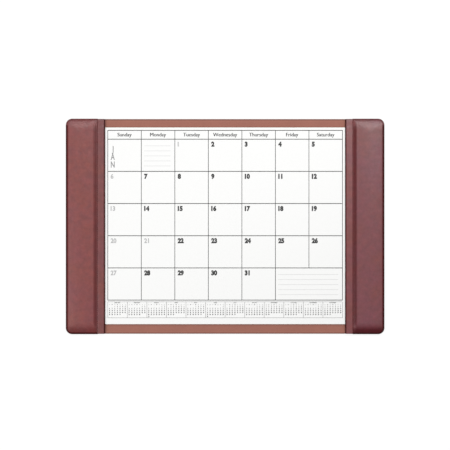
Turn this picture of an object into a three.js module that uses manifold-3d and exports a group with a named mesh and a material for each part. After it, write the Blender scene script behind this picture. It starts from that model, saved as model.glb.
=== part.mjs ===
// A desk pad calendar: a felt-backed board with a padded leather rail on each short side,
// and a pad of monthly calendar sheets held by its two edges under the rails' flaps.
// Millimetres, +Z up, +X to the right of the calendar, +Y towards its top edge.
// The origin is the middle of the footprint, on the desk.
import * as THREE from "three";
import { mergeVertices } from "three/addons/utils/BufferGeometryUtils.js";
import Module from "manifold-3d";

const wasm = await Module();
wasm.setup();

// Calendar: sheets of a standard size, which set the size of the desk pad that holds them
const SHEET_WIDTH = 558.8;
const SHEET_HEIGHT = 431.8;
const DAYS = 7;
const WEEKS = 5;
const MONTHS = 12;
const GRID_SIDE_MARGIN = 21.59; // from the sheet's side edges to the printed grid
const GRID_TOP_MARGIN = 6.1; // from the sheet's top edge to the printed grid
const HEADER_HEIGHT = 19.35;
const GRID_LINE = 1.1;
const STRIP_MARGIN = 3.8; // from the printed grid to the strip of small months
const STRIP_HEIGHT = 35;
const STRIP_LINE = 0.6;
const FOOT_MARGIN = 14.05; // from the strip of small months to the sheet's bottom edge
const INK = 0.12;
const NOTES_DAYS = 2; // the last boxes of the last week are one box for notes

// Desk pad round the calendar
const TOP_STRIP = 19.65; // liner that shows above the calendar
const BOTTOM_STRIP = 22.05;
const CORNER_RADIUS = 14;

// Side rails
const RAIL_WIDTH = 86.5;
const SHEET_TUCK = 15.9; // of the calendar's width, held under each flap
const TUCK_PLAY = 1.1; // from the calendar's side edge to the seam
const FLAP_SETBACK = 0.8; // the flap's ends stop short of the padded part's ends
const SEAM_LAP = 3; // the leather turned back under the flap runs on this far past the seam
const TURN_IN = 16; // leather and liner turned under the board
const LEDGE_WIDTH = 2.4; // flat strip between the seam and the padding
const SLOPE_WIDTH = 8.5; // padding rises from the ledge over this width
const ROLL_WIDTH = 5; // padding rolls over to the outer edge within this width
const ROLL_HEIGHT = 6;
const CROWN_RISE = 0.9; // the padding's middle above its shoulders
const RIDGE_WIDTH = 6; // flat along the top of the crown
const PAD_RISE = 4; // the crown above the flap
const SEAM_GROOVE_RADIUS = 0.9;
const SEAM_GROOVE_DEPTH = 0.45;
const HEM_RADIUS = 0.9; // bottom corner of the wrapped edge
const SEAM_CORNER_SHARE = 0.5; // the padding's corners by the seam grow rounder by this with its slope

// Sheet materials
const LEATHER = 0.9;
const FELT = 0.9;
const BOARD = 3;
const BOARD_EDGE_RADIUS = 0.9;
const LINER = 0.4;
const LINER_LAP = 40; // the liner runs on this far under each rail
const STIFFENER = 0.8;
const CARD = 0.7;
const SHEETS = 1.2; // twelve monthly sheets, pressed flat
const GUM = 0.4;

// Clearances
const FILM = 0.05; // a glue film, or the air between two flat sheets
const EASE = 0.3; // between leather and what it is wrapped round
const SLIDE = 0.3; // between the calendar and the flap that holds it

// Heights, from the desk up
const boardZ = Math.max(LEATHER, FELT) + FILM;
const hemZ = boardZ - FILM - LEATHER;
const boardTopZ = boardZ + BOARD;
const linerTopZ = boardTopZ + FILM + LINER;
const cardZ = linerTopZ + FILM;
const sheetsZ = cardZ + CARD + FILM;
const sheetsTopZ = sheetsZ + SHEETS;
const flapZ = sheetsTopZ + SLIDE;
const stiffenerZ = flapZ + LEATHER + FILM;
const skinZ = stiffenerZ + STIFFENER + FILM;
const flapTopZ = skinZ + LEATHER;
const crownZ = flapTopZ + PAD_RISE;
const shoulderZ = crownZ - CROWN_RISE;
const rollZ = shoulderZ - ROLL_HEIGHT;

// Plan places, for the rail on the right
const flapX = SHEET_WIDTH / 2 - SHEET_TUCK;
const seamX = SHEET_WIDTH / 2 + TUCK_PLAY;
const outerX = flapX + RAIL_WIDTH;
const endY = (SHEET_HEIGHT + TOP_STRIP + BOTTOM_STRIP) / 2;
const flapEndY = endY - FLAP_SETBACK;
const boardEndY = endY - LEATHER - EASE;
const sheetTopY = endY - TOP_STRIP;
const sheetBottomY = BOTTOM_STRIP - endY;
const crownRun = (outerX - seamX - ROLL_WIDTH - LEDGE_WIDTH - SLOPE_WIDTH - RIDGE_WIDTH) / 2;

// Places of the print on the sheet
const gridWidth = SHEET_WIDTH - 2 * GRID_SIDE_MARGIN;
const gridLeftX = -gridWidth / 2;
const dayWidth = gridWidth / DAYS;
const firstWeekY = sheetTopY - GRID_TOP_MARGIN - HEADER_HEIGHT;
const stripBottomY = sheetBottomY + FOOT_MARGIN;
const stripTopY = stripBottomY + STRIP_HEIGHT;
const dayHeight = (firstWeekY - stripTopY - STRIP_MARGIN) / WEEKS;

// Facets of a quarter turn
const CORNER_STEPS = 7;
const SOFT_CORNER_STEPS = 3;
const ROLL_STEPS = 6;
const CROWN_STEPS = 5;
const EDGE_STEPS = 4;
const GROOVE_SIDES = 10;

const CUT = 2; // how far a cutting shape runs past the face that it opens

// Turns a closed three.js geometry into a solid that can be joined and cut.
function solidOf(geometry) {
  const bare = geometry.clone();
  bare.deleteAttribute("normal");
  bare.deleteAttribute("uv");
  const merged = mergeVertices(bare, 1e-4);
  return new wasm.Manifold(
    new wasm.Mesh({
      numProp: 3,
      vertProperties: merged.attributes.position.array,
      triVerts: new Uint32Array(merged.index.array),
    }),
  );
}

function geometryOf(solid) {
  const { vertProperties, triVerts } = solid.getMesh();
  const geometry = new THREE.BufferGeometry();
  geometry.setAttribute("position", new THREE.BufferAttribute(vertProperties, 3));
  geometry.setIndex(new THREE.BufferAttribute(triVerts, 1));
  geometry.computeVertexNormals();
  return geometry;
}

// A box between two corners.
function block(low, high) {
  const size = new THREE.Vector3().subVectors(high, low);
  const middle = new THREE.Vector3().addVectors(low, high).multiplyScalar(0.5);
  return new THREE.BoxGeometry(size.x, size.y, size.z).translate(middle.x, middle.y, middle.z);
}

// An upright prism of a plan outline.
function prism(outline, low, high) {
  const options = { depth: high - low, bevelEnabled: false };
  return new THREE.ExtrudeGeometry(new THREE.Shape(outline), options).translate(0, 0, low);
}

// A long section drawn in X and Z, run along Y to both sides of the middle.
function runAlongY(section, halfLength) {
  const options = { depth: 2 * halfLength, bevelEnabled: false, curveSegments: EDGE_STEPS };
  return new THREE.ExtrudeGeometry(section, options).rotateX(Math.PI / 2).translate(0, halfLength, 0);
}

// Points of a quarter arc round a centre, from one angle on.
function quarterArc(centreX, centreY, radius, start, steps) {
  return Array.from({ length: steps + 1 }, (_, i) => {
    const angle = start + ((Math.PI / 2) * i) / steps;
    return new THREE.Vector2(centreX + radius * Math.cos(angle), centreY + radius * Math.sin(angle));
  });
}

// A rectangle in plan, from lowX to highX and to both sides of Y 0. The corners at highX have one
// radius and the corners at lowX another, as far as the width has room for them.
function roundedOutline(lowX, highX, halfY, highRadius, lowRadius, lowSteps = SOFT_CORNER_STEPS) {
  const room = (highX - lowX) / 2 - FILM;
  const high = Math.min(highRadius, room);
  const low = Math.min(lowRadius, room);
  return [
    ...quarterArc(highX - high, halfY - high, high, 0, CORNER_STEPS),
    ...quarterArc(lowX + low, halfY - low, low, Math.PI / 2, lowSteps),
    ...quarterArc(lowX + low, low - halfY, low, Math.PI, lowSteps),
    ...quarterArc(highX - high, high - halfY, high, 1.5 * Math.PI, CORNER_STEPS),
  ];
}

// A closed skin over level outlines that all have the same number of points, lowest first.
function loft(levels) {
  const count = levels[0].outline.length;
  const positions = levels.flatMap(({ outline, z }) => outline.flatMap((p) => [p.x, p.y, z]));
  const faces = [];
  for (let level = 0; level + 1 < levels.length; level += 1) {
    for (let i = 0; i < count; i += 1) {
      const here = level * count + i;
      const next = level * count + ((i + 1) % count);
      faces.push(here, next, next + count, here, next + count, here + count);
    }
  }
  const top = (levels.length - 1) * count;
  for (const [a, b, c] of THREE.ShapeUtils.triangulateShape(levels[0].outline, [])) {
    faces.push(a, c, b);
  }
  for (const [a, b, c] of THREE.ShapeUtils.triangulateShape(levels.at(-1).outline, [])) {
    faces.push(top + a, top + b, top + c);
  }
  const geometry = new THREE.BufferGeometry();
  geometry.setAttribute("position", new THREE.Float32BufferAttribute(positions, 3));
  geometry.setIndex(faces);
  return geometry;
}

// How far an elliptic roll has come in at a height: all of its width at the foot, none at the top.
function rollAt(z, footZ, width, height) {
  const rise = THREE.MathUtils.clamp((z - footZ) / height, 0, 1);
  return width * Math.sqrt(1 - rise * rise);
}

// How far across the crown a height lies: 0 at the shoulder, 1 at the ridge.
function crownShare(z, inset) {
  const rise = THREE.MathUtils.clamp((z - (shoulderZ - inset)) / CROWN_RISE, 0, 1);
  return 1 - Math.sqrt(1 - rise);
}

// The padded part's outline at a height, on a surface that lies a given depth inside the leather.
function paddedOutline(z, inset) {
  const share = crownShare(z, inset);
  const hem = inset > 0 ? 0 : HEM_RADIUS - rollAt(hemZ + HEM_RADIUS - z, 0, HEM_RADIUS, HEM_RADIUS);
  const roll = ROLL_WIDTH - rollAt(z, rollZ, ROLL_WIDTH - inset, ROLL_HEIGHT - inset);
  const slopeHeight = shoulderZ - flapTopZ - inset;
  const slope = SLOPE_WIDTH - rollAt(z, flapTopZ, SLOPE_WIDTH - inset, slopeHeight);
  const outerInset = roll + hem + crownRun * share;
  const seamInset = z > flapTopZ || inset > 0 ? LEDGE_WIDTH + slope + crownRun * share : 0;
  const outerRadius = Math.max(CORNER_RADIUS - roll, ROLL_WIDTH) - hem + ROLL_WIDTH * share;
  const seamRadius = HEM_RADIUS + seamInset * SEAM_CORNER_SHARE;
  const halfY = endY - outerInset;
  return roundedOutline(seamX + seamInset, outerX - outerInset, halfY, outerRadius, seamRadius);
}

// The heights at which the padded part is drawn, above a lowest one.
function paddedHeights(lowZ, inset) {
  const quarter = (i) => Math.sin((Math.PI / 2) * (i / ROLL_STEPS));
  const roll = Array.from({ length: ROLL_STEPS + 1 }, (_, i) => rollZ + (ROLL_HEIGHT - inset) * quarter(i));
  const crown = Array.from({ length: CROWN_STEPS }, (_, i) => {
    const left = 1 - (i + 1) / CROWN_STEPS;
    return shoulderZ - inset + CROWN_RISE * (1 - left * left);
  });
  const ledge = inset > 0 ? [] : [hemZ + HEM_RADIUS / 2, hemZ + HEM_RADIUS, flapTopZ, flapTopZ + FILM];
  const heights = [lowZ, ...ledge, ...roll, ...crown].filter((z) => z >= lowZ);
  return heights.sort((a, b) => a - b);
}

function paddedBody(lowZ, inset) {
  return loft(paddedHeights(lowZ, inset).map((z) => ({ z, outline: paddedOutline(z, inset) })));
}

// The flap's section: a slab whose free edge is the leather's fold.
function flapSection() {
  const thickness = flapTopZ - flapZ;
  const fold = thickness / 2;
  const section = new THREE.Shape();
  section.moveTo(seamX + LEDGE_WIDTH, flapZ);
  section.lineTo(seamX + LEDGE_WIDTH, flapTopZ);
  section.lineTo(flapX + fold, flapTopZ);
  section.absarc(flapX + fold, flapZ + fold, fold, Math.PI / 2, 1.5 * Math.PI, false);
  section.closePath();
  return section;
}

// The groove that the seam's stitches pull into the leather.
function seamGroove() {
  const radius = SEAM_GROOVE_RADIUS;
  const groove = new THREE.CylinderGeometry(radius, radius, 2 * endY + CUT, GROOVE_SIDES);
  return groove.translate(seamX, 0, flapTopZ + radius - SEAM_GROOVE_DEPTH);
}

// Leather: one piece over the padding, round the outer edge and both ends, turned in under the
// board, stitched down at the seam and folded back under the flap.
function railCover() {
  const shell = solidOf(paddedBody(hemZ, 0)).add(solidOf(runAlongY(flapSection(), flapEndY)));
  const turnInTop = boardZ - FILM;
  const opening = roundedOutline(
    seamX - CUT,
    outerX - TURN_IN,
    endY - TURN_IN,
    HEM_RADIUS,
    HEM_RADIUS,
  );
  const voids = [
    paddedBody(turnInTop, LEATHER),
    block(
      new THREE.Vector3(seamX - CUT, LEATHER - endY, turnInTop),
      new THREE.Vector3(seamX + LEDGE_WIDTH + SLOPE_WIDTH, endY - LEATHER, flapZ),
    ),
    block(
      new THREE.Vector3(seamX + SEAM_LAP, LEATHER - flapEndY, flapZ - CUT),
      new THREE.Vector3(seamX + LEDGE_WIDTH + SLOPE_WIDTH, flapEndY - LEATHER, skinZ),
    ),
    block(
      new THREE.Vector3(flapX + LEATHER, LEATHER - flapEndY, stiffenerZ - FILM),
      new THREE.Vector3(seamX + LEDGE_WIDTH + SLOPE_WIDTH, flapEndY - LEATHER, skinZ),
    ),
    prism(opening, hemZ - CUT, boardZ),
    seamGroove(),
  ];
  return voids.reduce((cover, cut) => cover.subtract(solidOf(cut)), shell);
}

// Foam: fills the padded part, above the stiffener.
function railPadding() {
  return paddedBody(skinZ, LEATHER + EASE);
}

// Card strip that keeps the rail flat and reaches into the flap.
function railStiffener() {
  const inset = LEATHER + EASE;
  const outerInset = ROLL_WIDTH - rollAt(skinZ, rollZ, ROLL_WIDTH - inset, ROLL_HEIGHT - inset);
  const outline = roundedOutline(
    flapX + inset,
    outerX - outerInset,
    flapEndY - Math.max(inset, outerInset),
    CORNER_RADIUS - outerInset,
    HEM_RADIUS,
  );
  return prism(outline, stiffenerZ, skinZ - FILM);
}

// Board strip under the padded part, which sets the height of the pocket for the calendar.
function railSpacer() {
  const inset = LEATHER + EASE;
  const topZ = stiffenerZ - FILM;
  const outerInset = ROLL_WIDTH - rollAt(topZ, rollZ, ROLL_WIDTH - inset, ROLL_HEIGHT - inset);
  const outline = roundedOutline(
    seamX + SEAM_LAP + EASE,
    outerX - outerInset,
    flapEndY - Math.max(inset, outerInset),
    CORNER_RADIUS - outerInset,
    HEM_RADIUS,
  );
  return prism(outline, linerTopZ + FILM, topZ);
}

// Board and liner share this section in Y and Z, at some depth outside the board's own surface.
function boardSection(depth) {
  const radius = BOARD_EDGE_RADIUS + depth;
  const halfY = boardEndY + depth;
  const section = new THREE.Shape();
  section.moveTo(halfY - radius, boardZ - depth);
  section.absarc(halfY - radius, boardZ - depth + radius, radius, 1.5 * Math.PI, 2 * Math.PI, false);
  section.absarc(halfY - radius, boardTopZ + depth - radius, radius, 0, Math.PI / 2, false);
  section.absarc(radius - halfY, boardTopZ + depth - radius, radius, Math.PI / 2, Math.PI, false);
  section.absarc(radius - halfY, boardZ - depth + radius, radius, Math.PI, 1.5 * Math.PI, false);
  section.closePath();
  return section;
}

// A section drawn in Y and Z, run along X to both sides of the middle.
function runAlongX(section, halfLength) {
  return runAlongY(section, halfLength).rotateZ(-Math.PI / 2);
}

// Stiff board, its corners rounded to fit inside the leather.
function baseBoard() {
  const inset = LEATHER + EASE;
  const corner = CORNER_RADIUS - inset;
  const plan = roundedOutline(inset - outerX, outerX - inset, endY - inset, corner, corner, CORNER_STEPS);
  const slab = solidOf(runAlongX(boardSection(0), outerX));
  return slab.intersect(solidOf(prism(plan, -CUT, boardTopZ + CUT)));
}

// Liner paper: over the board and on under the rails. Between the rails it goes round both long
// edges and is turned under.
function boardLiner() {
  const halfX = seamX - EASE;
  const sleeve = solidOf(runAlongX(boardSection(FILM + LINER), halfX));
  const board = solidOf(runAlongX(boardSection(FILM), halfX + CUT));
  const openY = endY - TURN_IN;
  const gap = block(
    new THREE.Vector3(-halfX - CUT, -openY, -CUT),
    new THREE.Vector3(halfX + CUT, openY, boardZ + BOARD / 2),
  );
  const lap = block(
    new THREE.Vector3(-seamX - LINER_LAP, BOARD_EDGE_RADIUS - boardEndY, linerTopZ - LINER),
    new THREE.Vector3(seamX + LINER_LAP, boardEndY - BOARD_EDGE_RADIUS, linerTopZ),
  );
  return sleeve.subtract(board).subtract(solidOf(gap)).add(solidOf(lap));
}

// Felt: covers the board's underside between what is turned in.
function feltBacking() {
  const halfX = outerX - TURN_IN - EASE;
  const halfY = endY - TURN_IN - EASE;
  const outline = roundedOutline(-halfX, halfX, halfY, HEM_RADIUS, HEM_RADIUS, CORNER_STEPS);
  return prism(outline, boardZ - FILM - FELT, boardZ - FILM);
}

// One flat layer of the calendar.
function calendarLayer(low, high) {
  return block(
    new THREE.Vector3(-SHEET_WIDTH / 2, sheetBottomY, low),
    new THREE.Vector3(SHEET_WIDTH / 2, sheetTopY, high),
  );
}

// Padding gum: a film on the top edge that holds the sheets and their card together.
function gumBinding() {
  return block(
    new THREE.Vector3(-SHEET_WIDTH / 2, sheetTopY + FILM, cardZ),
    new THREE.Vector3(SHEET_WIDTH / 2, sheetTopY + FILM + GUM, sheetsTopZ),
  );
}

// Printed rules round boxes that fill a rectangle: a film of ink with an opening for each box.
// Each box is given by the places of its four lines' middles.
function printedRules(boxes, line) {
  const half = line / 2;
  const low = new THREE.Vector3(Infinity, Infinity, sheetsTopZ);
  const high = new THREE.Vector3(-Infinity, -Infinity, sheetsTopZ + INK);
  for (const { lowX, lowY, highX, highY } of boxes) {
    low.min(new THREE.Vector3(lowX - half, lowY - half, sheetsTopZ));
    high.max(new THREE.Vector3(highX + half, highY + half, sheetsTopZ + INK));
  }
  const openings = boxes.map(({ lowX, lowY, highX, highY }) =>
    block(
      new THREE.Vector3(lowX + half, lowY + half, sheetsTopZ - CUT),
      new THREE.Vector3(highX - half, highY - half, sheetsTopZ + CUT),
    ),
  );
  return openings.reduce((film, opening) => film.subtract(solidOf(opening)), solidOf(block(low, high)));
}

// The month's grid: a row for the days' names, then a row for each week.
function monthGrid() {
  const boxes = [];
  for (let week = -1; week < WEEKS; week += 1) {
    const highY = firstWeekY + (week < 0 ? HEADER_HEIGHT : -week * dayHeight);
    const lowY = highY - (week < 0 ? HEADER_HEIGHT : dayHeight);
    const isLast = week === WEEKS - 1;
    const columns = isLast ? DAYS - NOTES_DAYS + 1 : DAYS;
    for (let day = 0; day < columns; day += 1) {
      const lowX = gridLeftX + day * dayWidth;
      const width = isLast && day === columns - 1 ? NOTES_DAYS * dayWidth : dayWidth;
      boxes.push({ lowX, lowY, highX: lowX + width, highY });
    }
  }
  return printedRules(boxes, GRID_LINE);
}

// The strip of small months under the grid.
function monthStrip() {
  const width = gridWidth / MONTHS;
  const boxes = Array.from({ length: MONTHS }, (_, month) => ({
    lowX: gridLeftX + month * width,
    lowY: stripBottomY,
    highX: gridLeftX + (month + 1) * width,
    highY: stripTopY,
  }));
  return printedRules(boxes, STRIP_LINE);
}

const MATERIALS = {
  leather: new THREE.MeshStandardMaterial({ color: 0x7a3a38, roughness: 0.42 }),
  liner: new THREE.MeshStandardMaterial({ color: 0xa0695c, roughness: 0.85 }),
  board: new THREE.MeshStandardMaterial({ color: 0x8a7257, roughness: 0.9 }),
  greyboard: new THREE.MeshStandardMaterial({ color: 0x97918a, roughness: 0.95 }),
  foam: new THREE.MeshStandardMaterial({ color: 0xd9d2c0, roughness: 0.95 }),
  felt: new THREE.MeshStandardMaterial({ color: 0x2b2524, roughness: 1 }),
  paper: new THREE.MeshStandardMaterial({ color: 0xf4f4f2, roughness: 0.9 }),
  gum: new THREE.MeshStandardMaterial({ color: 0xe6e0d2, roughness: 0.4 }),
  ink: new THREE.MeshStandardMaterial({ color: 0x4a4a4a, roughness: 0.8 }),
};

function piece(name, shape, material) {
  const geometry = shape instanceof THREE.BufferGeometry ? shape : geometryOf(shape);
  const mesh = new THREE.Mesh(geometry, MATERIALS[material]);
  mesh.name = name;
  return mesh;
}

// Both rails are the same. The one on the left is turned half a turn.
function rail(side, turn) {
  const group = new THREE.Group();
  group.add(
    piece(`${side}_rail_cover`, railCover(), "leather"),
    piece(`${side}_rail_padding`, railPadding(), "foam"),
    piece(`${side}_rail_stiffener`, railStiffener(), "greyboard"),
    piece(`${side}_rail_spacer`, railSpacer(), "greyboard"),
  );
  group.rotation.z = turn;
  return group;
}

function board() {
  const group = new THREE.Group();
  group.add(
    piece("base_board", baseBoard(), "board"),
    piece("board_liner", boardLiner(), "liner"),
    piece("felt_backing", feltBacking(), "felt"),
  );
  return group;
}

function calendar() {
  const group = new THREE.Group();
  group.add(
    piece("calendar_sheets", calendarLayer(sheetsZ, sheetsTopZ), "paper"),
    piece("calendar_card", calendarLayer(cardZ, cardZ + CARD), "greyboard"),
    piece("calendar_gum_binding", gumBinding(), "gum"),
    piece("calendar_month_grid", monthGrid(), "ink"),
    piece("calendar_month_strip", monthStrip(), "ink"),
  );
  return group;
}

const deskPadCalendar = new THREE.Group();
deskPadCalendar.name = "desk_pad_calendar";
deskPadCalendar.add(board(), rail("right", 0), rail("left", Math.PI), calendar());

export default deskPadCalendar;
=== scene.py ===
# A desk pad calendar as it lies on a white desk, seen from straight above.
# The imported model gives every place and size. Lengths are in millimetres unless they say
# otherwise, and each mesh is scaled to metres when it is made.
import math
from functools import cache
import bpy
import bmesh
import numpy as np
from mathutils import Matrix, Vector


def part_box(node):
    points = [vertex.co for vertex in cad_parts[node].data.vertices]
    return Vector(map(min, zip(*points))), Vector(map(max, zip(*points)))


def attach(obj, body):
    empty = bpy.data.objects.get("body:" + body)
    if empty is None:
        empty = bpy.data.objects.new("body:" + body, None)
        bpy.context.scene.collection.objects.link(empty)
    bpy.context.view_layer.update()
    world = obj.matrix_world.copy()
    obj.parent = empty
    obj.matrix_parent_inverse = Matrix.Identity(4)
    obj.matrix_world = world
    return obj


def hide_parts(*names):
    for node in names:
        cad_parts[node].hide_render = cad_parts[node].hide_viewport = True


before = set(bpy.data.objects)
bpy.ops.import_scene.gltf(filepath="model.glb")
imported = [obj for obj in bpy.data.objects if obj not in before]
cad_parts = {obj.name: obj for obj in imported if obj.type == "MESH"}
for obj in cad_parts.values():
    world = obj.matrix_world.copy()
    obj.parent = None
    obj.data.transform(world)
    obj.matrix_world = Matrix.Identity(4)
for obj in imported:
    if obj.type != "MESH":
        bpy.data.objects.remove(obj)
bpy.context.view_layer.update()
MM = 0.001


def node_box(node):
    """A CAD node's lowest and highest corners, in millimetres."""
    low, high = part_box(node)
    return np.array(low) / MM, np.array(high) / MM


# Places from the frame
cover_low, cover_high = node_box("right_rail_cover")
padding_low = node_box("right_rail_padding")[0]
stiffener_low, stiffener_high = node_box("right_rail_stiffener")
sheets_low, sheets_high = node_box("calendar_sheets")
grid_low, grid_high = node_box("calendar_month_grid")
strip_low, strip_high = node_box("calendar_month_strip")
felt_low, felt_high = node_box("felt_backing")
liner_high = node_box("board_liner")[1]

# Leather rails. Places across a rail are measured from its outer edge inwards.
LEATHER = 0.9
FILM = 0.05
RAIL_WIDTH = cover_high[0] - cover_low[0]
OUTER_X = cover_high[0]
END_Y = cover_high[1]
CORNER = 14
TUCK_PLAY = 1.1
SEAM = OUTER_X - sheets_high[0] - TUCK_PLAY
SEAM_LAP = 3
FLAP_TOP = stiffener_high[2] + FILM + LEATHER
FLAP_UNDER = stiffener_low[2] - FILM - LEATHER
FLAP_SETBACK = 0.8
FOLD_SPREAD = 2.2
FLAP_FOLD = RAIL_WIDTH - FOLD_SPREAD
FLAP_END = END_Y - FLAP_SETBACK - FOLD_SPREAD
SAG = 0.35
SAG_RUN = 5
SAG_SEAM_SHARE = 0.35
HEM = 0.9
TURN_IN = 16
TURN_IN_RINGS = (TURN_IN, 11.0, 6.0, 2.5)
HEM_SIDE_SHARES = (0.3, 0.6, 0.85)

# The face over the padding: a roll round the rim, a crown, and a slope down to the seam's ledge
CROWN_TOP = cover_high[2]
CROWN_RISE = 1.5
CROWN_RUN = 30
CROWN_BLEND = 6.0
SHOULDER = CROWN_TOP - CROWN_RISE
ROLL_WIDTH = 5
ROLL_HEIGHT = 5.4
ROLL_FOOT = SHOULDER - ROLL_HEIGHT
ROLL_BLEND = 0.8
LEDGE = 2.4
SLOPE_WIDTH = 8.5
SLOPE_POWER = 2.3
SLOPE_END_SHARE = 0.4
SLOPE_WANDER = 0.12
END_RUN = 28
END_DROP = 2.5
END_POWER = 3.0
SWELL = 0.16
PUCKER = 0.22
PUCKER_REACH = 7.0
PUCKER_FADE = 3
CALM_RIM = 9
FOAM_CLEARANCE = 0.3
FOAM_SETBACK = 2.6

# Stitched seam
ROWS = 372
ROWS_PER_STITCH = 4
MIDDLE_ROWS = np.linspace(-(END_Y - CORNER), END_Y - CORNER, ROWS + 1)
STITCH_PITCH = 2 * (END_Y - CORNER) / ROWS * ROWS_PER_STITCH
GROOVE_DEPTH = 0.55
GROOVE_WIDTH = 0.8
GROOVE_SHARE = 0.65
HOLE_SHARE = 0.6
THREAD_RADIUS = 0.27
THREAD_TIP = 0.02
THREAD_TAPER = 0.86
THREAD_SIDES = 8
STITCH_STEPS = 8
STITCH_SHARE = 0.74
STITCH_LEAN = 0.035
STITCH_BOW = 0.06
STITCH_RISE = 0.42
STITCH_DIP = 0.62
SPARE_STITCHES = 2

# Pitches and places of the leather's mesh
PLATEAU_PITCH = 1.6
BEND_PITCH = 0.55
FLAP_PITCH = 1.3
BEND_REACH = 12
SEAM_REACH = 2.2
UNDER_PITCH = 1.5
ROLL_ANGLES = np.radians((0, 9, 18, 28, 40))
ROLL_DEPTHS = ROLL_WIDTH * (1 - np.cos(ROLL_ANGLES))
RIM_DEPTHS = (END_Y - FLAP_END, 3.9, ROLL_WIDTH, 6.8, 9.0, 11.5, CORNER)
FACE_DEPTHS = np.concatenate([ROLL_DEPTHS, RIM_DEPTHS])
FLAP_DEPTHS = FACE_DEPTHS[FACE_DEPTHS >= END_Y - FLAP_END]
FLAP_ROWS = np.concatenate([FLAP_DEPTHS[:-1] - END_Y, MIDDLE_ROWS, (END_Y - FLAP_DEPTHS[:-1])[::-1]])
FOAM_GRID = (90, 34)
CARD_GRID = (160, 24)

# Painted shade: how wide the leather is painted dark as shade, how wide that fades out, and how strong it
# is.
# The strengths of the slope and the near end are given by side, 1 for the right rail. The rim's shade is
# eased at the far end, painted lighter there as light falls from beyond it.
RIM_SHADE = 2.8
RIM_FADE = 4.6
FAR_RIM_EASE = 0.65
FOLD_SHADE = 3.6
FOLD_FADE = 1.9
FLAP_END_FADE = 2.6
FLAP_END_STRENGTH = 0.6
SLOPE_MIDDLE = SEAM - LEDGE - 2.0
SLOPE_REACH = 4.3
SLOPE_STRENGTH = {1: 0.62, -1: 0.48}
SEAM_STRENGTH = 0.85
NEAR_END_SHADE = 7
NEAR_END_FADE = 20
NEAR_END_STRENGTH = {1: 0.76, -1: 0.5}
HIDDEN_BELOW = FLAP_UNDER - 1

# Felt and leaves
FELT_PITCH = 9
FELT_UNEVEN = 0.05
FELT_LIFT = 0.05
LEAVES = 12
LEAF_SHARE = 0.86
LEAF_SHIFT = 0.12
LEAF_CUT = 0.18
LEAF_COLUMNS = 12
LEAF_ROWS = 10

# Light and camera. The height, the floor's drop and the floor's size are in metres.
CAMERA_HEIGHT = 3.0
LENS = 109.0
PIXEL = 2.2
PHOTO_SIDE = 450
OBJECT_CENTRE_PX = (225.12, 226.43)
FLOOR_SIZE = 8
FLOOR_DROP = 0.0001
FLOOR_GREY = 0.18
FLOOR_WHITE_LIFT = 0.86


def smooth_step(t):
    """A smooth rise from 0 to 1 as t goes from 0 to 1."""
    t = np.clip(t, 0.0, 1.0)
    return t * t * (3 - 2 * t)


def smooth_min(a, b, blend):
    """The lower of two heights, rounded over where they cross."""
    share = np.clip(0.5 + 0.5 * (b - a) / blend, 0.0, 1.0)
    return b + (a - b) * share - blend * share * (1 - share)


def ripples(at, seed, wavelengths):
    """A smooth random line between -1 and 1, from a few waves with random phases."""
    rng = np.random.default_rng(seed)
    total = np.zeros_like(at, dtype=float)
    for wavelength in wavelengths:
        phase = rng.uniform(0, 2 * math.pi)
        total += np.sin(2 * math.pi * at / wavelength + phase)
    return total / len(wavelengths)


def outline_depth(across, along):
    """How far a place lies inside the rail's rounded outline."""
    from_end = END_Y - np.abs(along)
    straight = np.minimum(across, from_end)
    corner = CORNER - np.hypot(CORNER - across, CORNER - from_end)
    in_corner = (across < CORNER) & (from_end < CORNER)
    return np.maximum(np.where(in_corner, corner, straight), 0.0)


def flap_sag(across, along):
    """The flap hangs a little lower past the ends of the sheets that it holds."""
    past = np.where(along > 0, along - sheets_high[1], sheets_low[1] - along)
    towards_fold = smooth_step((across - SEAM) / (RAIL_WIDTH - SEAM))
    return -SAG * smooth_step(past / SAG_RUN) * (SAG_SEAM_SHARE + (1 - SAG_SEAM_SHARE) * towards_fold)


def unevenness(across, along, from_ledge, seed):
    """Swells of the padding, and the puckers that the seam pulls into the leather beside it."""
    swell = ripples(along + 0.6 * across, seed + 1, (37, 58, 96)) * ripples(across, seed + 2, (26, 41))
    pucker = ripples(along + 0.25 * across, seed + 3, (7.3, 11.9, 17.1, 23.7))
    near_seam = np.exp(-((from_ledge / PUCKER_REACH) ** 2))
    reach = near_seam * np.clip((from_ledge + LEDGE) / PUCKER_FADE, 0, 1)
    return SWELL * swell + PUCKER * pucker * reach


def padded_height(across, along, seed, inset=0.0):
    """The height of the leather's face over the padding, the ledge and the flap. An inset gives
    a like surface that lies this deep inside the leather."""
    from_end = END_Y - np.abs(along)
    end_share = 1 - (1 - np.clip(from_end / END_RUN, 0.0, 1.0)) ** END_POWER
    shoulder = SHOULDER - END_DROP * (1 - end_share) - inset
    depth = outline_depth(across, along)
    roll_share = np.clip(1 - (depth - inset) / (ROLL_WIDTH - inset), 0.0, 1.0)
    roll = ROLL_FOOT + (shoulder - ROLL_FOOT) * np.sqrt(1 - roll_share**2)

    slope_width = SLOPE_WIDTH * (SLOPE_END_SHARE + (1 - SLOPE_END_SHARE) * end_share)
    slope_width = slope_width * (1 + SLOPE_WANDER * ripples(along, seed, (31, 47, 83, 140)))
    from_ledge = SEAM - LEDGE - inset - across
    climb = 1 - (1 - np.clip(from_ledge / slope_width, 0.0, 1.0)) ** SLOPE_POWER
    ledge = FLAP_TOP - inset
    slope = ledge + (shoulder - ledge) * climb
    base = smooth_min(roll, slope, ROLL_BLEND)

    run = smooth_min(depth - ROLL_WIDTH, from_ledge - slope_width, CROWN_BLEND)
    crown = CROWN_RISE * (1 - (1 - np.clip(run / CROWN_RUN, 0.0, 1.0)) ** 2)
    return base + crown + smooth_step(depth / CALM_RIM) * unevenness(across, along, from_ledge, seed)


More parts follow.
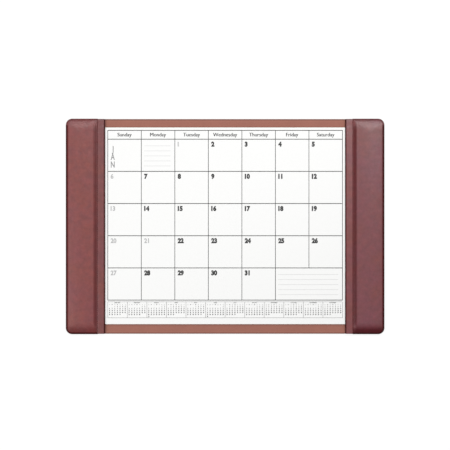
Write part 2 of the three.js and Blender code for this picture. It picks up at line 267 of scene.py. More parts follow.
def seam_dent(across, along):
    """The groove along the seam, deeper at each needle hole."""
    hole = 0.5 + 0.5 * np.cos(2 * math.pi * (along - MIDDLE_ROWS[0]) / STITCH_PITCH)
    groove = np.exp(-(((across - SEAM) / GROOVE_WIDTH) ** 2))
    return -GROOVE_DEPTH * groove * (GROOVE_SHARE + HOLE_SHARE * hole**2)


def face_height(across, along, seed):
    """The whole face of the leather, from the outer roll to the flap's fold."""
    return padded_height(across, along, seed) + seam_dent(across, along) + flap_sag(across, along)


def spaced(start, end, pitch):
    """Even places from start to end, about a pitch apart."""
    return np.linspace(start, end, max(2, round(abs(end - start) / pitch) + 1))


def place(name, mesh):
    """Adds a finished mesh to the scene as a piece of the one body."""
    piece = bpy.data.objects.new(name, mesh)
    bpy.context.scene.collection.objects.link(piece)
    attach(piece, "root")
    return piece


class Patchwork:
    """Patches of quads, joined where their edges meet."""

    def __init__(self):
        self.points = []
        self.faces = []

    def patch(self, points):
        """Adds a grid of points, shaped rows by columns by 3."""
        rows, columns = points.shape[:2]
        start = len(self.points)
        self.points.extend(points.reshape(-1, 3).tolist())
        for r in range(rows - 1):
            for c in range(columns - 1):
                corner = start + r * columns + c
                self.faces.append((corner, corner + 1, corner + columns + 1, corner + columns))

    def block(self, low_points, high_points):
        """Adds a closed block between two grids of points."""
        self.patch(low_points)
        self.patch(high_points)
        for edge in (np.s_[0, :], np.s_[-1, :], np.s_[:, 0], np.s_[:, -1]):
            self.patch(np.array([low_points[edge], high_points[edge]]))

    def mesh(self, name, thickness=0.0, merge=0.01):
        """The joined mesh, in metres, facing out. A thickness is added behind its faces."""
        mesh = bpy.data.meshes.new(name)
        mesh.from_pydata(self.points, [], self.faces)
        work = bmesh.new()
        work.from_mesh(mesh)
        bmesh.ops.remove_doubles(work, verts=work.verts, dist=merge)
        bmesh.ops.recalc_face_normals(work, faces=work.faces)
        work.normal_update()
        highest = max(work.faces, key=lambda face: face.calc_center_median().z)
        if highest.normal.z < 0:
            bmesh.ops.reverse_faces(work, faces=work.faces)
        if thickness:
            thicken(work, thickness)
        bmesh.ops.scale(work, vec=(MM, MM, MM), verts=work.verts)
        work.to_mesh(mesh)
        work.free()
        mesh.shade_smooth()
        return mesh


def thicken(work, thickness):
    """Turns an open skin into a closed sheet by adding a second skin behind it."""
    work.normal_update()
    front = list(work.faces)
    rims = [edge.link_loops[0] for edge in work.edges if len(edge.link_faces) == 1]
    rims = [(loop.vert, loop.link_loop_next.vert) for loop in rims]
    back = {v: work.verts.new(v.co - v.normal * thickness) for v in list(work.verts)}
    for face in front:
        work.faces.new([back[v] for v in reversed(face.verts)])
    for here, there in rims:
        work.faces.new((there, here, back[here], back[there]))


def grid_points(x, y, z):
    """Points over a grid of places, at one height or at a height for each place."""
    return np.stack([x, y, np.broadcast_to(z, x.shape)], axis=-1)


def on_rail(side, across, along, height):
    """Points of a rail. Side is 1 for the rail on the right and -1 for the one on the left."""
    across, along, height = np.broadcast_arrays(across, along, height)
    return np.stack([side * (OUTER_X - across), along, height], axis=-1)


def face_columns():
    """Places across the face, close together where the leather bends."""
    plateau = spaced(CORNER, SEAM - BEND_REACH, PLATEAU_PITCH)
    bends = spaced(SEAM - BEND_REACH, SEAM, BEND_PITCH)
    beside_seam = spaced(SEAM, SEAM + SEAM_REACH, BEND_PITCH)
    flap = spaced(SEAM + SEAM_REACH, FLAP_FOLD, FLAP_PITCH)
    return np.concatenate([plateau, bends[1:], beside_seam[1:], flap[1:]])


def wrapped_rings():
    """The wrapped edge under the board and up its side: pairs of depth and height."""
    rings = [(depth, 0.0) for depth in TURN_IN_RINGS]
    for angle in np.radians((90, 60, 30, 0)):
        rings.append((HEM * (1 - math.cos(angle)), HEM * (1 - math.sin(angle))))
    rings += [(0.0, HEM + (ROLL_FOOT - HEM) * share) for share in HEM_SIDE_SHARES]
    return rings


def rim_path(depth, end_columns):
    """The places round a rail's two ends and outer side, at some depth inside its outline."""
    centre = max(CORNER, depth)
    radius = centre - depth
    turn = np.radians(np.linspace(0, 90, 13))[1:-1]
    arc_across = centre - radius * np.sin(turn)
    arc_along = END_Y - centre + radius * np.cos(turn)
    ends = np.maximum(end_columns, centre)
    end_along = np.full_like(ends, END_Y - depth)
    side = np.clip(MIDDLE_ROWS[::-1], centre - END_Y, END_Y - centre)
    across = np.concatenate([ends[::-1], arc_across, np.full_like(side, depth), arc_across[::-1], ends])
    along = np.concatenate([end_along, arc_along, side, -arc_along[::-1], -end_along])
    return across, along


def fold_path(flap_columns):
    """The line round the flap where its face starts to turn down, and the way out at each place."""
    quarter = np.radians(np.linspace(90, 0, 5))
    end = [(across, FLAP_END, 0.0, 1.0) for across in flap_columns[:-1]]
    corner = [(FLAP_FOLD, FLAP_END, math.cos(angle), math.sin(angle)) for angle in quarter]
    side = [(FLAP_FOLD, along, 1.0, 0.0) for along in FLAP_ROWS[::-1][1:-1]]
    other = [(across, -along, out, -up) for across, along, out, up in (end + corner)[::-1]]
    return np.array(end + corner + side + other)


def flap_fold(side, flap_columns, seed):
    """The half-round fold along the flap's edge and ends, from its face to its underside."""
    start_across, start_along, out_across, out_along = fold_path(flap_columns).T
    top = face_height(start_across, start_along, seed)
    under = FLAP_UNDER + flap_sag(start_across, start_along)
    fold = []
    for angle in np.radians(np.linspace(90, -90, 9)):
        spread = FOLD_SPREAD * math.cos(angle)
        height = (top + under) / 2 + (top - under) / 2 * math.sin(angle)
        across = start_across + out_across * spread
        along = start_along + out_along * spread
        fold.append(on_rail(side, across, along, height))
    return np.array(fold)


def rail_leather(side, seed):
    """One piece of leather: the face, the wrapped edges and the flap with its fold."""
    skin = Patchwork()
    columns = face_columns()
    across, along = np.meshgrid(columns, MIDDLE_ROWS)
    skin.patch(on_rail(side, across, along, face_height(across, along, seed)))

    end_columns = columns[columns <= SEAM + FILM]
    wrapped = [on_rail(side, *rim_path(depth, end_columns), height) for depth, height in wrapped_rings()]
    for depth in FACE_DEPTHS:
        across, along = rim_path(depth, end_columns)
        wrapped.append(on_rail(side, across, along, face_height(across, along, seed)))
    skin.patch(np.array(wrapped))

    flap_columns = columns[columns >= SEAM - FILM]
    for end in (1, -1):
        across, depths = np.meshgrid(flap_columns, FLAP_DEPTHS)
        along = end * (END_Y - depths)
        skin.patch(on_rail(side, across, along, face_height(across, along, seed)))
    skin.patch(flap_fold(side, flap_columns, seed))

    under_columns = np.concatenate([spaced(SEAM - SEAM_LAP, SEAM, UNDER_PITCH)[:-1], flap_columns])
    across, along = np.meshgrid(under_columns, FLAP_ROWS)
    skin.patch(on_rail(side, across, along, FLAP_UNDER + flap_sag(across, along)))
    return skin


def filling_grid(start, end, rows, columns, inset):
    """A grid of places inside the rail, with its outer corners rounded as the leather's are."""
    across = np.linspace(start, end, columns)
    radius = CORNER - inset
    short = radius - np.sqrt(np.maximum(radius**2 - np.maximum(CORNER - across, 0.0) ** 2, 0.0))
    last = END_Y - inset - short
    share = np.linspace(-1, 1, rows)
    return np.broadcast_to(across, (rows, columns)), share[:, None] * last[None, :]


def slab(side, across, along, low, high):
    """A closed slab between two surfaces over one grid of places."""
    skin = Patchwork()
    skin.block(on_rail(side, across, along, low), on_rail(side, across, along, high))
    return skin


def rail_foam(side, seed):
    """Foam that fills the rail up to the leather. It lies on the spacer, within the leather's roll."""
    inset = LEATHER + FOAM_CLEARANCE
    edge = inset + FOAM_SETBACK
    low = padding_low[2]
    across, along = filling_grid(edge, SEAM - LEDGE - inset, *FOAM_GRID, edge)
    high = np.maximum(padded_height(across, along, seed, inset), low + FILM)
    return slab(side, across, along, low, high)


def rail_card(side):
    """The card strip in the rail and its flap, which bends with the flap."""
    start = OUTER_X - stiffener_high[0]
    end = OUTER_X - stiffener_low[0] - FOLD_SPREAD / 2
    inset = END_Y - stiffener_high[1]
    across, along = filling_grid(start, end, *CARD_GRID, inset)
    sag = flap_sag(across, along)
    return slab(side, across, along, stiffener_low[2] + sag, stiffener_high[2] + sag)


def seam_stitches(side, seed):
    """A row of thread stitches, each dipping into its needle holes."""
    skin = Patchwork()
    first = MIDDLE_ROWS[0] - SPARE_STITCHES * STITCH_PITCH
    turn = np.linspace(0, 2 * math.pi, THREAD_SIDES + 1)
    rng = np.random.default_rng(seed)
    for i in range(ROWS // ROWS_PER_STITCH + 2 * SPARE_STITCHES):
        middle = first + (i + 0.5) * STITCH_PITCH
        lean = rng.normal(0, STITCH_LEAN)
        share = np.linspace(-1, 1, STITCH_STEPS + 1)
        along = middle + share * STITCH_PITCH * STITCH_SHARE / 2
        centre = SEAM + share * lean + STITCH_BOW * np.sin(share * math.pi)
        base = FLAP_TOP + flap_sag(np.array(SEAM), along) - GROOVE_DEPTH
        height = base + STITCH_RISE - STITCH_DIP * share**4
        radius = THREAD_RADIUS * np.sqrt(np.maximum(1.0 - THREAD_TAPER * share**6, 0.0))
        radius[[0, -1]] = THREAD_TIP
        ring_across = centre[:, None] + radius[:, None] * np.cos(turn)[None, :]
        ring_height = height[:, None] + radius[:, None] * np.sin(turn)[None, :]
        skin.patch(on_rail(side, ring_across, along[:, None], ring_height))
    return skin


def burnish(mesh, side):
    """Marks where shade is painted into the leather's colour: along its rim, its fold, the slope and the
    seam, and at the flap's ends and the rail's near end."""
    places = np.empty(len(mesh.vertices) * 3)
    mesh.vertices.foreach_get("co", places)
    x, along, height = places.reshape(-1, 3).T / MM
    across = OUTER_X - np.abs(x)
    from_end = END_Y - np.abs(along)
    is_flap = across > SEAM
    # Each mark is painted shade: the rim, the fold and the flap's ends where the leather turns away, the
    # slope, the seam's groove and the near end. The far rim is painted lighter, as light falls from beyond
    # it.
    rim = 1 - smooth_step((outline_depth(across, along) - RIM_SHADE) / RIM_FADE)
    rim = np.where(is_flap, 0.0, rim * (1 - FAR_RIM_EASE * (along > END_Y - CORNER)))
    fold = smooth_step((across - RAIL_WIDTH + FOLD_SHADE) / FOLD_FADE)
    flap_end = np.where(is_flap, 1 - smooth_step((from_end - FLAP_SETBACK) / FLAP_END_FADE), 0.0)
    slope = np.exp(-(((across - SLOPE_MIDDLE) / SLOPE_REACH) ** 4)) * smooth_step(from_end / END_RUN)
    seam = np.exp(-(((across - SEAM) / GROOVE_WIDTH) ** 2))
    near_end = 1 - smooth_step((along + END_Y - NEAR_END_SHADE) / NEAR_END_FADE)
    near_end = np.where(is_flap, 0.0, near_end)
    marks = np.maximum.reduce([
        rim,
        fold,
        FLAP_END_STRENGTH * flap_end,
        SLOPE_STRENGTH[side] * slope,
        SEAM_STRENGTH * seam,
        NEAR_END_STRENGTH[side] * near_end,
    ])
    marks = np.where(height < HIDDEN_BELOW, rim, marks)
    mesh.attributes.new("burnish", "FLOAT", "POINT").data.foreach_set("value", marks)


def build_rail(side):
    """All pieces of one rail."""
    label = "right" if side > 0 else "left"
    seed = 11 if side > 0 else 23
    leather = place(f"{label}_rail_leather", rail_leather(side, seed).mesh("leather", LEATHER))
    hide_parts(f"{label}_rail_cover")
    # The leather's colour gets painted shade along its rims, fold, slope, seam and near end.
    burnish(leather.data, side)
    leather.data.materials.append(leather_material())
    foam = place(f"{label}_rail_foam", rail_foam(side, seed).mesh("foam"))
    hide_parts(f"{label}_rail_padding")
    foam.data.materials.append(foam_material())
    card = place(f"{label}_rail_card", rail_card(side).mesh("card"))
    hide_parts(f"{label}_rail_stiffener")
    card.data.materials.append(greyboard_material())
    stitches = place(f"{label}_rail_stitches", seam_stitches(side, seed).mesh("stitches"))
    stitches.data.materials.append(thread_material())


def build_felt():
    """The felt under the board, its face slightly uneven."""
    columns = spaced(felt_low[0], felt_high[0], FELT_PITCH)
    rows = spaced(felt_low[1], felt_high[1], FELT_PITCH)
    x, y = np.meshgrid(columns, rows)
    rough = ripples(x + 0.4 * y, 41, (23, 31, 57)) * ripples(y - 0.3 * x, 42, (19, 37, 61))
    low = felt_low[2] + FELT_LIFT + FELT_UNEVEN * rough
    skin = Patchwork()
    skin.block(grid_points(x, y, low), grid_points(x, y, felt_high[2]))
    felt = place("felt_underside", skin.mesh("felt"))
    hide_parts("felt_backing")
    felt.data.materials.append(felt_material())


def build_pages():
    """The monthly sheets: separate leaves in one block, level along the top edge."""
    rng = np.random.default_rng(7)
    pitch = (sheets_high[2] - sheets_low[2]) / LEAVES
    skin = Patchwork()
    for leaf in range(LEAVES):
        is_top = leaf == LEAVES - 1
        shift = 0.0 if is_top else rng.uniform(-LEAF_SHIFT, LEAF_SHIFT)
        cut = 0.0 if is_top else rng.uniform(0.0, LEAF_CUT)
        high = sheets_low[2] + (leaf + 1) * pitch
        low = high - pitch * LEAF_SHARE
        left = sheets_low[0] + LEAF_SHIFT + shift
        right = sheets_high[0] - LEAF_SHIFT + shift
        columns = np.linspace(left, right, LEAF_COLUMNS)
        rows = np.linspace(sheets_low[1] + cut, sheets_high[1], LEAF_ROWS)
        x, y = np.meshgrid(columns, rows)
        skin.block(grid_points(x, y, low), grid_points(x, y, high))
    mesh = skin.mesh("pages", merge=0.002)
    mesh.shade_flat()
    pages = place("page_stack", mesh)
    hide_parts("calendar_sheets")
    pages.data.materials.append(paper_material())


# Print on the sheet
INK = 0.06
STRIKE_LIFT = 0.02
CAP_SHARE = 0.729
PAGE_TOP = sheets_high[2]
DAYS = 7
WEEKS = 5
GRID_LINE = 1.1
HEADER = 19.35
GRID_LEFT = grid_low[0] + GRID_LINE / 2
DAY_WIDTH = (grid_high[0] - grid_low[0] - GRID_LINE) / DAYS
FIRST_WEEK = grid_high[1] - GRID_LINE / 2 - HEADER
DAY_HEIGHT = (FIRST_WEEK - grid_low[1] - GRID_LINE / 2) / WEEKS
FIRST_WEEKDAY = 2
DAY_NAMES = ("Sunday", "Monday", "Tuesday", "Wednesday", "Thursday", "Friday", "Saturday")
MONTH_NAMES = ("JANUARY", "FEBRUARY", "MARCH", "APRIL", "MAY", "JUNE", "JULY", "AUGUST",
               "SEPTEMBER", "OCTOBER", "NOVEMBER", "DECEMBER")
MONTH_LENGTHS = (31, 28, 31, 30, 31, 30, 31, 31, 30, 31, 30, 31)
HOLIDAYS = (1, 21)
LEVEL_BLEED = 1.55
UPRIGHT_BLEED = 1.26

# Places of the print in its boxes: how far in from the left, and how far below or above a line
DAY_INDENT = 6.2
DAY_DROP = 15.6
NAME_LIFT = 6.2
MONTH_LETTERS = "JAN"
LETTER_INDENT = 10.9
LETTER_DROP = 28.3
LETTER_PITCH = 16.9
NOTE_ROWS = 5
NOTE_DROP = 14.6
NOTE_PITCH = 11.05
NOTE_INDENT = 6.0
NOTE_MARGIN = 9.5
NOTE_LINE = 0.6
NOTE_BOXES = ((1, 0, 1), (5, 4, 2))
SMALL_MARGIN = 4.3
SMALL_PITCH_X = 5.75
SMALL_PITCH_Y = 4.4
SMALL_NAME_DROP = 3.3
SMALL_LETTER_DROP = 7.4
SMALL_FIRST_DROP = 11.6

# Types: the height of a capital, the weight added to the outline or the spread of two strikes,
# the share of the usual width, and the steps in a curve
WORKING_DAY = {"height": 10.0, "bold": 0.07, "squeeze": 0.92, "resolution": 4}
REST_DAY = {"height": 10.0, "bold": 0.04, "squeeze": 0.92, "resolution": 4}
DAY_NAME = {"height": 8.3, "spread": 0.6, "squeeze": 0.97, "resolution": 3}
MONTH_LETTER = {"height": 13.8, "bold": 0.02, "squeeze": 0.66, "resolution": 4}
SMALL_NAME = {"height": 2.3, "spread": 0.18, "squeeze": 0.95, "resolution": 1}
SMALL_LETTER = {"height": 2.1, "spread": 0.26, "squeeze": 0.8, "resolution": 1}
SMALL_NUMBER = {"height": 2.6, "bold": 0.07, "squeeze": 0.66, "resolution": 1}


def upright(polygon):
    """A letter's face, turned where it lies on top and looks down, or below and looks up."""
    corners = tuple(polygon.vertices)
    is_cap = abs(polygon.normal.z) > 0.5
    return corners[::-1] if is_cap and polygon.normal.z * polygon.center.z < 0 else corners


@cache
def letter_shape(text, bold, resolution):
    """A text as a thin mesh, centred, with a cap height of 1: its points and its faces."""
    curve = bpy.data.curves.new("letters", "FONT")
    curve.body = text
    curve.extrude = 0.5
    curve.offset = bold
    curve.resolution_u = resolution
    holder = bpy.data.objects.new("letters", curve)
    bpy.context.scene.collection.objects.link(holder)
    bpy.context.view_layer.update()
    mesh = holder.evaluated_get(bpy.context.evaluated_depsgraph_get()).to_mesh()
    points = np.array([v.co for v in mesh.vertices])
    faces = [upright(p) for p in mesh.polygons]
    bpy.data.objects.remove(holder)
    bpy.data.curves.remove(curve)
    points[:, 0] -= (points[:, 0].min() + points[:, 0].max()) / 2
    points[:, :2] /= CAP_SHARE
    return points, faces


class Print:
    """Flat letters, numbers and bars of ink that lie on the top sheet."""

    def __init__(self):
        self.points = []
        self.faces = []

    def text(self, text, x, y, height, squeeze, resolution, bold=0.0, lift=0.0, from_left=False):
        """Adds a text with its foot on y. Its middle, or its left end, is at x."""
        points, faces = letter_shape(text, bold, resolution)
        flat_x = points[:, 0] * height * squeeze
        flat_y = points[:, 1] * height
        if from_left:
            flat_x = flat_x - flat_x.min()
        z = PAGE_TOP + lift + INK * (points[:, 2] + 0.5)
        start = len(self.points)
        self.points.extend(np.stack([x + flat_x, y + flat_y, z], axis=-1).tolist())
        self.faces.extend(tuple(start + i for i in face) for face in faces)

    def struck(self, text, x, y, height, spread, squeeze, resolution):
        """Adds a text twice, a little apart, which makes its upright strokes thick."""
        for shift, lift in ((-spread / 2, 0.0), (spread / 2, STRIKE_LIFT)):
            self.text(text, x + shift, y, height, squeeze, resolution, lift=lift)

    def bar(self, low_x, low_y, high_x, high_y):
        """Adds a thin ruled bar."""
        start = len(self.points)
        for z in (PAGE_TOP, PAGE_TOP + INK):
            self.points += [(low_x, low_y, z), (high_x, low_y, z), (high_x, high_y, z), (low_x, high_y, z)]
        quads = ((3, 2, 1, 0), (4, 5, 6, 7), (0, 1, 5, 4), (1, 2, 6, 5), (2, 3, 7, 6), (3, 0, 4, 7))
        self.faces += [tuple(start + i for i in quad) for quad in quads]

    def build(self, name, material):
        """Places what was printed as one piece."""
        mesh = bpy.data.meshes.new(name)
        mesh.from_pydata([tuple(c * MM for c in p) for p in self.points], [], self.faces)
        piece = place(name, mesh)
        piece.data.materials.append(material)


def day_cell(day):
    """The left and top lines of a day's box."""
    slot = day - 1 + FIRST_WEEKDAY
    return GRID_LEFT + (slot % DAYS) * DAY_WIDTH, FIRST_WEEK - (slot // DAYS) * DAY_HEIGHT


def print_days():
    """The month's numbers: bold on working days, and light on Sundays and holidays."""
    working = Print()
    resting = Print()
    for day in range(1, MONTH_LENGTHS[0] + 1):
        left, top = day_cell(day)
        is_rest = (day - 1 + FIRST_WEEKDAY) % DAYS == 0 or day in HOLIDAYS
        sheet, style = (resting, REST_DAY) if is_rest else (working, WORKING_DAY)
        sheet.text(str(day), left + DAY_INDENT, top - DAY_DROP, from_left=True, **style)
    working.build("day_numbers", ink_material("ink_black", 0.035))
    resting.build("rest_day_numbers", ink_material("ink_light_grey", 0.48))


def print_names():
    """The weekdays' names over their columns, and the month's letters one below the other."""
    names = Print()
    for day, name in enumerate(DAY_NAMES):
        names.struck(name, GRID_LEFT + (day + 0.5) * DAY_WIDTH, FIRST_WEEK + NAME_LIFT, **DAY_NAME)
    names.build("day_names", ink_material("ink_grey", 0.05))
    month = Print()
    for row, letter in enumerate(MONTH_LETTERS):
        y = FIRST_WEEK - LETTER_DROP - LETTER_PITCH * row
        month.text(letter, GRID_LEFT + LETTER_INDENT, y, **MONTH_LETTER)
    month.build("month_letters", ink_material("ink_mid_grey", 0.27))


def print_note_rules():
    """Pale rules for notes. A box is its first column, its row and how many days it spans."""
    rules = Print()
    for column, week, days in NOTE_BOXES:
        left = GRID_LEFT + column * DAY_WIDTH
        right = left + days * DAY_WIDTH - NOTE_MARGIN
        for row in range(NOTE_ROWS):
            y = FIRST_WEEK - week * DAY_HEIGHT - NOTE_DROP - NOTE_PITCH * row
            rules.bar(left + NOTE_INDENT, y - NOTE_LINE / 2, right, y + NOTE_LINE / 2)
    rules.build("note_rules", ink_material("ink_pale_grey", 0.55))


def print_rule_bleed():
    """The soft edge of ink along the month's rules, a little wider along the level ones. The last
    rule between two days stops short of the wide box for notes."""
    bleed = Print()
    for y in [FIRST_WEEK + HEADER] + [FIRST_WEEK - week * DAY_HEIGHT for week in range(WEEKS + 1)]:
        bleed.bar(grid_low[0], y - LEVEL_BLEED / 2, grid_high[0], y + LEVEL_BLEED / 2)
    for day in range(DAYS + 1):
        x = GRID_LEFT + day * DAY_WIDTH
        weeks = WEEKS - 1 if day == DAYS - 1 else WEEKS
        foot = FIRST_WEEK - weeks * DAY_HEIGHT
        bleed.bar(x - UPRIGHT_BLEED / 2, foot, x + UPRIGHT_BLEED / 2, grid_high[1])
    bleed.build("rule_bleed", ink_material("ink_bleed", 0.02))


def print_small_months():
    """The strip of twelve months: a name, a row of weekday letters and the numbers."""
    heads = Print()
    numbers = Print()
    top = strip_high[1]
    width = (strip_high[0] - strip_low[0]) / len(MONTH_NAMES)
    weekday = FIRST_WEEKDAY
    for month, (name, length) in enumerate(zip(MONTH_NAMES, MONTH_LENGTHS)):
        left = strip_low[0] + month * width
        first_x = left + SMALL_MARGIN
        heads.struck(name, left + width / 2, top - SMALL_NAME_DROP, **SMALL_NAME)
        for column, day_name in enumerate(DAY_NAMES):
            x = first_x + column * SMALL_PITCH_X
            heads.struck(day_name[0], x, top - SMALL_LETTER_DROP, **SMALL_LETTER)
        for day in range(1, length + 1):
            slot = day - 1 + weekday
            x = first_x + (slot % DAYS) * SMALL_PITCH_X
            y = top - SMALL_FIRST_DROP - (slot // DAYS) * SMALL_PITCH_Y
            numbers.text(str(day), x, y, **SMALL_NUMBER)
        weekday = (weekday + length) % DAYS
    heads.build("small_month_names", ink_material("ink_small_heads", 0.08))
    numbers.build("small_month_numbers", ink_material("ink_small_numbers", 0.015))


# Materials. Their lengths are in metres.
TINT_REACH = 0.3
LINER_STRIP = 0.022


def node_material(name, roughness):
    """A new material, with its node tree and its shader."""
    material = bpy.data.materials.new(name)
    material.use_nodes = True
    tree = material.node_tree
    shader = tree.nodes["Principled BSDF"]
    shader.inputs["Roughness"].default_value = roughness
    return material, tree, shader


def add_node(tree, kind, inputs=None, **settings):
    """Adds a node. Inputs are values, or sockets of other nodes to link."""
    node = tree.nodes.new(kind)
    for key, value in settings.items():
        setattr(node, key, value)
    for key, value in (inputs or {}).items():
        if isinstance(value, bpy.types.NodeSocket):
            tree.links.new(value, node.inputs[key])
        else:
            node.inputs[key].default_value = value
    return node


def object_place(tree):
    """The place on the object, in metres, that textures are laid out by."""
    return add_node(tree, "ShaderNodeTexCoord").outputs["Object"]


def object_axis(tree, axis):
    """One coordinate of the place on the object."""
    return add_node(tree, "ShaderNodeSeparateXYZ", {"Vector": object_place(tree)}).outputs[axis]


def share_between(tree, value, low, high):
    """How far a value lies from low to high, from 0 to 1."""
    return add_node(tree, "ShaderNodeMapRange", {"Value": value, 1: low, 2: high}).outputs[0]


def noise(tree, scale, detail=3.0, roughness=0.5, distortion=0.0):
    """A noise, mostly between 0.3 and 0.7, in features of about 1 / scale metres."""
    values = {"Vector": object_place(tree), "Scale": scale, "Detail": detail,
              "Roughness": roughness, "Distortion": distortion}
    return add_node(tree, "ShaderNodeTexNoise", values).outputs["Fac"]


def ramp(tree, factor, stops):
    """A colour ramp. Stops are pairs of place and colour."""
    node = add_node(tree, "ShaderNodeValToRGB", {"Fac": factor})
    elements = node.color_ramp.elements
    while len(elements) < len(stops):
        elements.new(0.5)
    for element, (position, colour) in zip(elements, stops):
        element.position = position
        element.color = (*colour, 1.0)
    return node.outputs["Color"]


def mix(tree, factor, first, second, blend="MULTIPLY"):
    """Two colours mixed, each a value or a socket."""
    node = add_node(tree, "ShaderNodeMix", data_type="RGBA", blend_type=blend)
    for socket, value in ((node.inputs[0], factor), (node.inputs[6], first), (node.inputs[7], second)):
        if isinstance(value, bpy.types.NodeSocket):
            tree.links.new(value, socket)
        else:
            socket.default_value = value
    return node.outputs[2]


def math_node(tree, operation, *values):
    """The result of a sum on values or sockets."""
    node = add_node(tree, "ShaderNodeMath", dict(enumerate(values)), operation=operation)
    return node.outputs[0]


def bump(tree, shader, height, distance, strength=1.0, under=None):
    """Gives a shader bump, on top of the normal that lies under it, and returns the new normal."""
    inputs = {"Height": height, "Distance": distance, "Strength": strength}
    if under is not None:
        inputs["Normal"] = under
    node = add_node(tree, "ShaderNodeBump", inputs)
    tree.links.new(node.outputs["Normal"], shader.inputs["Normal"])
    return node.outputs["Normal"]


def linear(*values):
    """An sRGB colour, 0 to 255, as linear values."""
    shares = np.array(values) / 255
    return tuple(np.where(shares <= 0.04045, shares / 12.92, ((shares + 0.055) / 1.055) ** 2.4))


def grey(level):
    """A grey as a colour."""
    return (level,) * 3


def leather_colour(tree, cells, shade_mask):
    """The mottled hide with its pores, darkened where shade is painted. The tints are those of the left
    strip, the left flap, the right flap and the right strip, and they change at the seams."""
    hues = [(0.34, linear(119, 41, 34)), (0.66, linear(117, 41, 48))]
    patches = ramp(tree, noise(tree, 18, 4, 0.55), hues)
    # The rails' tones: the right rail is painted darker as shade, for light that falls from the left; the
    # left is browner and the right more wine-red.
    from_left = share_between(tree, object_axis(tree, "X"), -TINT_REACH, TINT_REACH)
    side_tone_and_shade = ramp(tree, from_left, [(0.02, (0.98, 0.96, 0.9)), (0.034, (0.8, 0.86, 0.82)),
                                  (0.966, (0.86, 0.82, 0.94)), (0.98, (0.78, 0.74, 1.04))])
    shades = [(0.32, (0.8, 0.72, 0.74)), (0.68, (1.15, 1.24, 1.2))]
    clouds = ramp(tree, noise(tree, 75, 5, 0.6, 0.3), shades)
    colour = mix(tree, 1.0, mix(tree, 1.0, patches, side_tone_and_shade), clouds)
    pores = ramp(tree, cells, [(0.0, (0.72, 0.7, 0.7)), (0.12, grey(1.0))])
    colour = mix(tree, 0.6, colour, pores)
    # Painted shade: the colour darkens to a deep red along the mask.
    dark = ramp(tree, shade_mask, [(0.0, grey(1.0)), (0.7, (0.52, 0.22, 0.26)), (1.0, (0.24, 0.02, 0.03))])
    return mix(tree, 1.0, colour, dark)


@cache
def leather_material():
    """Softly mottled leather under a satin top coat, which is thin where shade is painted into the colour.
    The hide is a little browner on the left and more wine-red on the right, and the right rail is painted
    darker as shade."""
    material, tree, shader = node_material("burgundy_leather", 0.6)
    cells = add_node(tree, "ShaderNodeTexVoronoi", {"Vector": object_place(tree), "Scale": 850.0},
                     feature="DISTANCE_TO_EDGE").outputs["Distance"]
    # The mask of shade painted into the leather's colour.
    shade_mask = add_node(tree, "ShaderNodeAttribute", attribute_name="burnish").outputs["Fac"]
    tree.links.new(leather_colour(tree, cells, shade_mask), shader.inputs["Base Color"])
    finish = ramp(tree, noise(tree, 160, 4), [(0.3, grey(1.0)), (0.7, grey(0.86))])
    # The top coat thins along the mask of painted shade.
    shade_ramp = ramp(tree, shade_mask, [(0.0, grey(1.0)), (0.8, grey(0.03))])
    tree.links.new(mix(tree, 1.0, finish, shade_ramp), shader.inputs["Coat Weight"])
    shader.inputs["Coat Roughness"].default_value = 0.38
    shader.inputs["Coat IOR"].default_value = 1.62
    shader.inputs["Specular IOR Level"].default_value = 0.12
    wrinkles = bump(tree, shader, noise(tree, 260, 5, 0.6, 0.4), 0.00025, 0.5)
    grain = bump(tree, shader, cells, 0.00012, 0.5, wrinkles)
    tree.links.new(grain, shader.inputs["Coat Normal"])
    return material


@cache
def thread_material():
    """Twisted thread in the leather's colour."""
    material, tree, shader = node_material("burgundy_thread", 0.55)
    twist = add_node(tree, "ShaderNodeTexWave", {"Vector": object_place(tree), "Scale": 900.0,
                                                 "Distortion": 1.0}, bands_direction="DIAGONAL")
    colour = ramp(tree, twist.outputs["Fac"], [(0.2, linear(86, 34, 36)), (0.8, linear(126, 66, 66))])
    tree.links.new(colour, shader.inputs["Base Color"])
    bump(tree, shader, twist.outputs["Fac"], 0.00006, 0.6)
    return material


@cache
def foam_material():
    """Open cream foam."""
    material, tree, shader = node_material("cream_foam", 0.95)
    voronoi = add_node(tree, "ShaderNodeTexVoronoi", {"Vector": object_place(tree), "Scale": 1400.0})
    cells = voronoi.outputs["Distance"]
    colour = ramp(tree, cells, [(0.1, linear(190, 180, 158)), (0.6, linear(226, 219, 202))])
    tree.links.new(colour, shader.inputs["Base Color"])
    bump(tree, shader, cells, 0.0003, 0.8)
    return material


@cache
def greyboard_material():
    """Grey board with flecks of its fibres."""
    material, tree, shader = node_material("greyboard", 0.9)
    flecks = noise(tree, 900, 6, 0.7)
    colour = ramp(tree, flecks, [(0.35, linear(128, 122, 114)), (0.65, linear(166, 160, 152))])
    tree.links.new(colour, shader.inputs["Base Color"])
    bump(tree, shader, noise(tree, 1200, 4, 0.7), 0.00008, 0.6)
    return material


@cache
def board_material():
    """Brown fibre board."""
    material, tree, shader = node_material("fibre_board", 0.9)
    fibres = noise(tree, 500, 6, 0.75, 0.6)
    colour = ramp(tree, fibres, [(0.35, linear(104, 80, 56)), (0.65, linear(142, 114, 84))])
    tree.links.new(colour, shader.inputs["Base Color"])
    bump(tree, shader, noise(tree, 900, 5, 0.7), 0.0001, 0.6)
    return material


